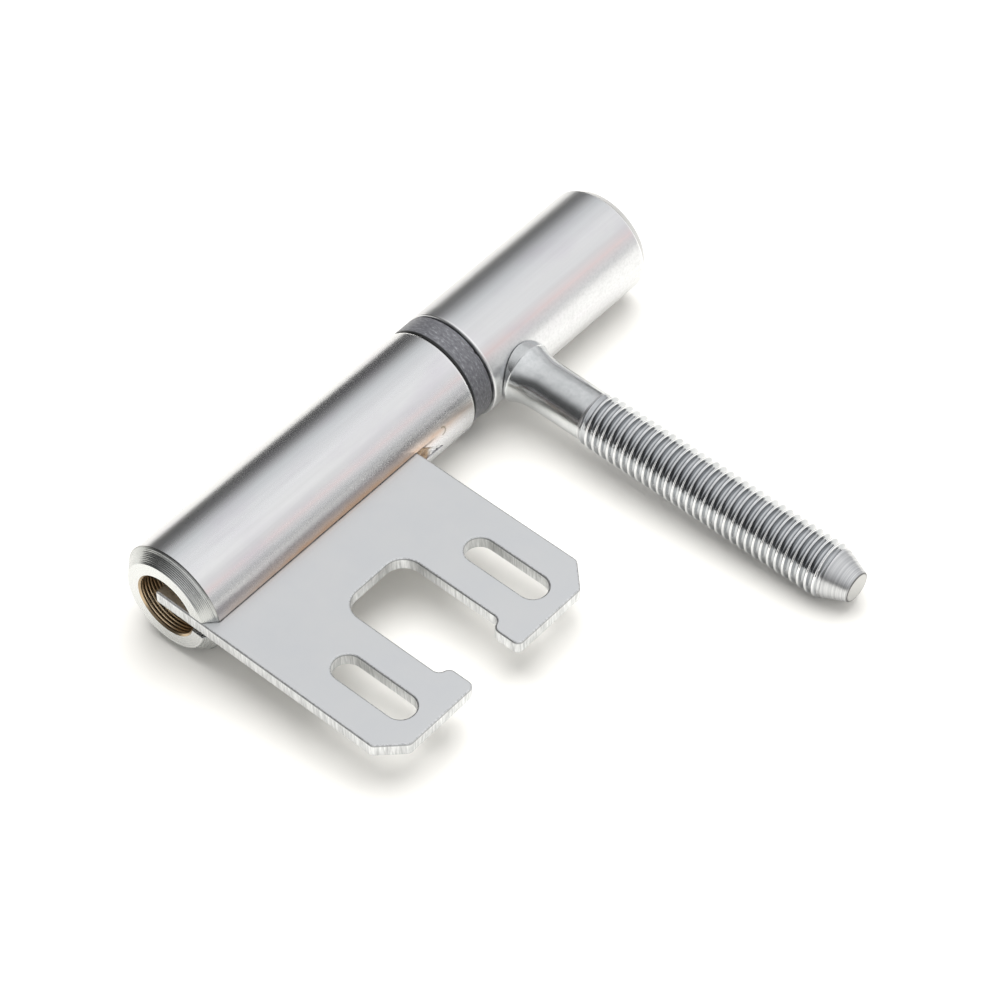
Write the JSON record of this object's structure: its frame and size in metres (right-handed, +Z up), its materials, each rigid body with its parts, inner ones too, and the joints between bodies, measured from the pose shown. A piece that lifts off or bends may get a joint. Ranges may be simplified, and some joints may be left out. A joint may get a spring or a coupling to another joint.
{
  "type": "drill-in hinge",
  "caption": "Lift-off drill-in hinge: slotted frame plate in a bored knuckle, bearing ring, and a door knuckle with a threaded stud.",
  "frame": {"origin": "on the hinge axis, at the frame knuckle's bearing face", "axes": "+Y along the hinge axis towards the door knuckle, +Z up from the table that the part lies on, +X to the side of the plate and the stud"},
  "size_m": [0.089, 0.1077, 0.02],
  "materials": {
    "zinc_tube": "satin bright zinc over turned steel tube",
    "zinc_plate": "matte bright zinc over sheared sheet steel",
    "weld_metal": "heat-tinted weld",
    "ring_plastic": "dark slate grey with pale wear",
    "zinc_barrel": "satin bright zinc over turned steel",
    "pin_steel": "ground steel",
    "zinc_stud": "bright zinc over a rolled thread"
  },
  "bodies": {
    "frame_leaf": {"frame_knuckle": "zinc_tube", "frame_plate": "zinc_plate", "plate_weld": "weld_metal"},
    "bearing_ring": {"bearing_washer": "ring_plastic"},
    "door_leaf": {"door_knuckle": "zinc_barrel", "hinge_pin": "pin_steel", "drill_in_stud": "zinc_stud"}
  },
  "joints": [
    {"name": "lift_off", "type": "slide", "parent": "frame_leaf", "child": "bearing_ring", "axis": [0, 1, 0], "range_m": [0, 0.05]},
    {"name": "swing", "type": "hinge", "parent": "bearing_ring", "child": "door_leaf", "pos_m": [0, 0, 0], "axis": [0, -1, 0], "continuous": true}
  ]
}
